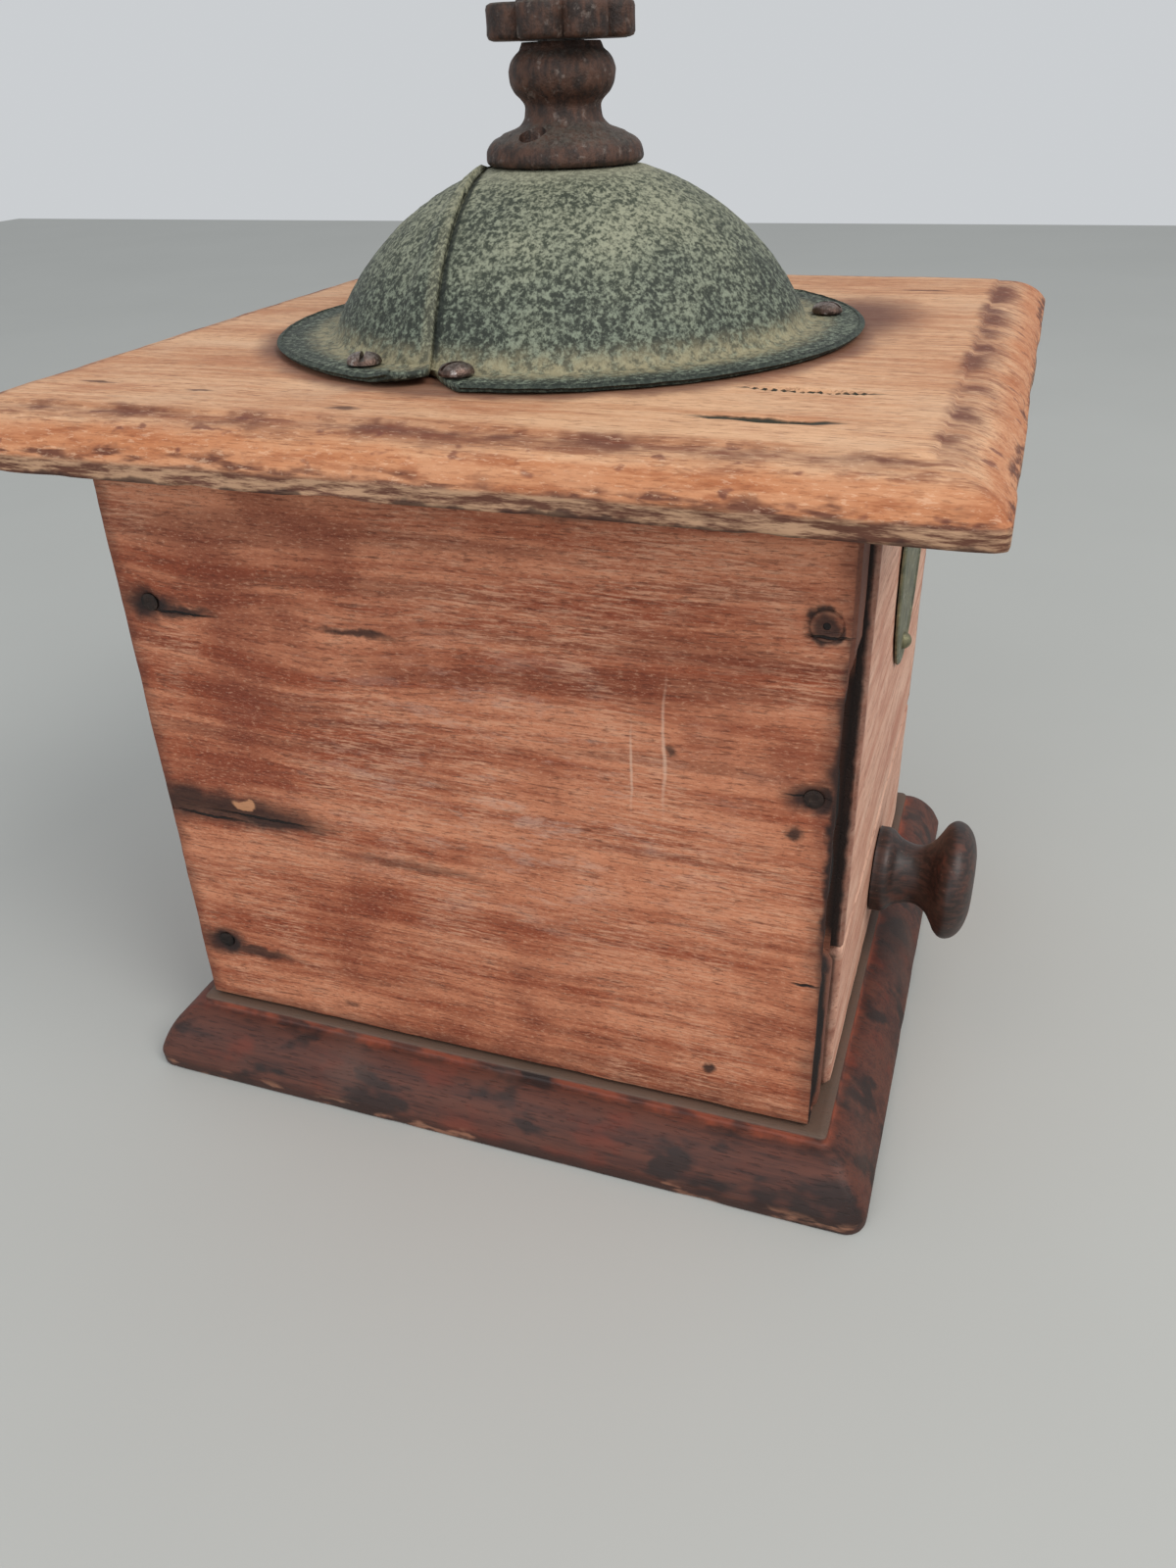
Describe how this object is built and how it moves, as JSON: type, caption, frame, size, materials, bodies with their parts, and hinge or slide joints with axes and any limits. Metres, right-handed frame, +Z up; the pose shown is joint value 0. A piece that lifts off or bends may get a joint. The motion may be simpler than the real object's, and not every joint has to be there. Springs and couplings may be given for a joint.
{
  "type": "hand crank coffee mill",
  "caption": "Wooden box coffee mill with a drawer, sheet-metal dome, bearing pillar, lobed adjusting nut and hand crank.",
  "frame": {"origin": "middle of the case's width and depth, on the underside of the base board", "axes": "+Z up along the spindle, -Y towards the drawer's knob, +X towards the sliding door of the dome and the crank at rest"},
  "size_m": [0.2033, 0.1714, 0.2583],
  "materials": {
    "side_wood": "worn red-brown stain over beech, horizontal grain",
    "front_wood": "worn pinkish stain over beech",
    "top_wood": "worn orange-brown stain, dark in the moulding",
    "base_wood": "dark red-brown stain, waxed",
    "inner_wood": "unfinished softwood",
    "turned_wood": "dark stained and turned, worn reddish at the rim",
    "plate_metal": "dull tarnished sheet",
    "green_paint": "dark green enamel under grey dust",
    "browned_iron": "brown oxidised iron",
    "cast_iron": "bare grey iron casting",
    "spindle_steel": "dull steel",
    "rusty_screws": "rust-brown with bright worn spots"
  },
  "bodies": {
    "case": {"left_side_panel": "side_wood", "right_side_panel": "side_wood", "rear_panel": "side_wood", "front_panel": "front_wood", "top_board": "top_wood", "base_board": "base_wood", "dust_board": "inner_wood", "front_plate": "plate_metal", "dome_shell": "green_paint", "bearing_pillar": "browned_iron", "bean_bowl": "cast_iron", "burr_ring": "cast_iron", "lower_bridge": "cast_iron", "crown_plate": "cast_iron", "dome_screw_1": "rusty_screws", "dome_screw_2": "rusty_screws", "dome_screw_3": "rusty_screws", "dome_screw_4": "rusty_screws", "dome_screw_5": "rusty_screws", "pillar_screw_1": "rusty_screws", "pillar_screw_2": "rusty_screws", "bowl_screw_1": "rusty_screws", "bowl_screw_2": "rusty_screws", "bowl_screw_3": "rusty_screws", "bridge_screw_1": "rusty_screws", "bridge_screw_2": "rusty_screws", "plate_pin_1": "rusty_screws", "plate_pin_2": "rusty_screws", "wall_nail_left_rear_low": "rusty_screws", "wall_nail_left_rear_high": "rusty_screws", "wall_nail_left_front_middle": "rusty_screws", "wall_nail_left_front_high": "rusty_screws", "wall_nail_right_rear_low": "rusty_screws", "wall_nail_right_rear_high": "rusty_screws", "wall_nail_right_front_middle": "rusty_screws", "wall_nail_right_front_high": "rusty_screws"},
    "drawer": {"drawer_front": "front_wood", "drawer_left": "inner_wood", "drawer_right": "inner_wood", "drawer_back": "inner_wood", "drawer_bottom": "inner_wood", "drawer_knob": "turned_wood", "drawer_knob_screw": "rusty_screws"},
    "door": {"dome_door": "green_paint", "door_pull": "plate_metal"},
    "washer": {"thrust_washer": "spindle_steel"},
    "adjuster": {"adjusting_nut": "browned_iron"},
    "spindle": {"spindle": "spindle_steel", "inner_burr": "cast_iron", "burr_pin": "spindle_steel", "crank_arm": "browned_iron", "crank_cap_nut": "spindle_steel", "knob_pin": "spindle_steel"},
    "handle": {"crank_knob": "turned_wood"}
  },
  "joints": [
    {"name": "drawer_slide", "type": "slide", "parent": "case", "child": "drawer", "axis": [0, -1, 0], "range_m": [0, 0.085]},
    {"name": "door_swing", "type": "hinge", "parent": "case", "child": "door", "pos_m": [0, 0, 0.15], "axis": [0, 0, 1], "range_deg": [-84, 0]},
    {"name": "crank_turn", "type": "hinge", "parent": "case", "child": "washer", "pos_m": [0, 0, 0.189], "axis": [0, 0, -1], "continuous": true},
    {"name": "nut_turn", "type": "hinge", "parent": "washer", "child": "adjuster", "pos_m": [0, 0, 0.192], "axis": [0, 0, -1], "range_deg": [-346, 116]},
    {"name": "burr_lift", "type": "slide", "parent": "washer", "child": "spindle", "axis": [0, 0, 1], "range_m": [-0.0012, 0.0004]},
    {"name": "knob_spin", "type": "hinge", "parent": "spindle", "child": "handle", "pos_m": [0.108, 0, 0.24], "axis": [0, 0, 1], "continuous": true}
  ],
  "couplings": [
    {"joint": "nut_turn", "follows": "burr_lift", "rad_per_m": 5026.5}
  ]
}
